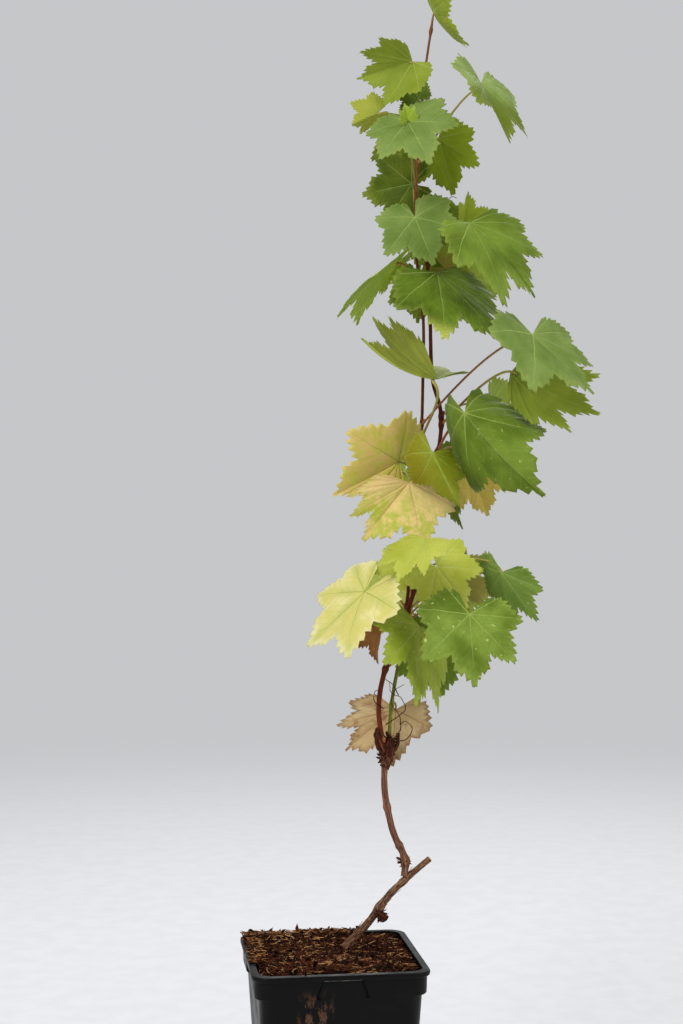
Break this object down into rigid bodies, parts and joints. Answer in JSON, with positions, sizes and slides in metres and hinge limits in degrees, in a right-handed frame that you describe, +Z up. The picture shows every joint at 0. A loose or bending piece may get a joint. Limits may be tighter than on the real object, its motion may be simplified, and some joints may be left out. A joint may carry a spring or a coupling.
{
  "type": "potted grapevine",
  "caption": "Young grapevine with leafy shoots from an old woody cutting, in a square black nursery pot.",
  "frame": {"origin": "middle of the pot's flat underside, on the ground", "axes": "+X towards the pot's right side and +Y away from the viewer, square to the pot's sides, +Z up"},
  "size_m": [0.2994, 0.2059, 1.0417],
  "materials": {
    "pot_plastic": "semi-gloss black",
    "compost": "coarse bark and fibre",
    "old_bark": "dry shredding bark",
    "red_bark": "smooth young bark, red-brown",
    "green_bark": "smooth young bark, green to brown",
    "leaf_green": "satin leaf",
    "leaf_pale": "satin leaf, yellowed",
    "leaf_dried": "dull dried leaf"
  },
  "bodies": {
    "root": {"pot": "pot_plastic", "soil": "compost", "trunk": "old_bark", "stem": "old_bark", "shoot_long": "green_bark", "shoot_red": "red_bark", "shoot_stub": "red_bark", "leaf_top": "leaf_green", "leaf_top_left": "leaf_green", "leaf_top_right": "leaf_green", "leaf_top_front": "leaf_green", "leaf_young_left": "leaf_green", "leaf_young_top": "leaf_green", "leaf_right_back": "leaf_green", "leaf_left_back": "leaf_green", "leaf_collar": "leaf_green", "leaf_right_upper": "leaf_green", "leaf_right_young": "leaf_green", "leaf_centre": "leaf_green", "leaf_left_hanging": "leaf_pale", "leaf_patched": "leaf_green", "leaf_shaded": "leaf_green", "leaf_right_middle": "leaf_green", "leaf_right_under": "leaf_green", "leaf_left_edge": "leaf_green", "leaf_bright": "leaf_green", "leaf_yellow": "leaf_pale", "leaf_mid_front": "leaf_green", "leaf_mottled": "leaf_pale", "leaf_mottled_fold": "leaf_green", "leaf_mid_back": "leaf_green", "leaf_lime": "leaf_pale", "leaf_lime_right": "leaf_green", "leaf_olive": "leaf_green", "leaf_lime_small": "leaf_pale", "leaf_pale": "leaf_pale", "leaf_low_left": "leaf_green", "leaf_star": "leaf_green", "leaf_low_right": "leaf_green", "leaf_low_back": "leaf_green", "leaf_dried": "leaf_dried", "leaf_dried_curl": "leaf_dried", "leaf_back_top": "leaf_green", "leaf_back_upper": "leaf_green", "leaf_back_high": "leaf_green", "leaf_back_right": "leaf_green", "leaf_back_middle": "leaf_green", "leaf_back_left": "leaf_green", "leaf_back_centre": "leaf_green", "leaf_back_low": "leaf_green", "leaf_back_low_right": "leaf_green"}
  },
  "joints": []
}
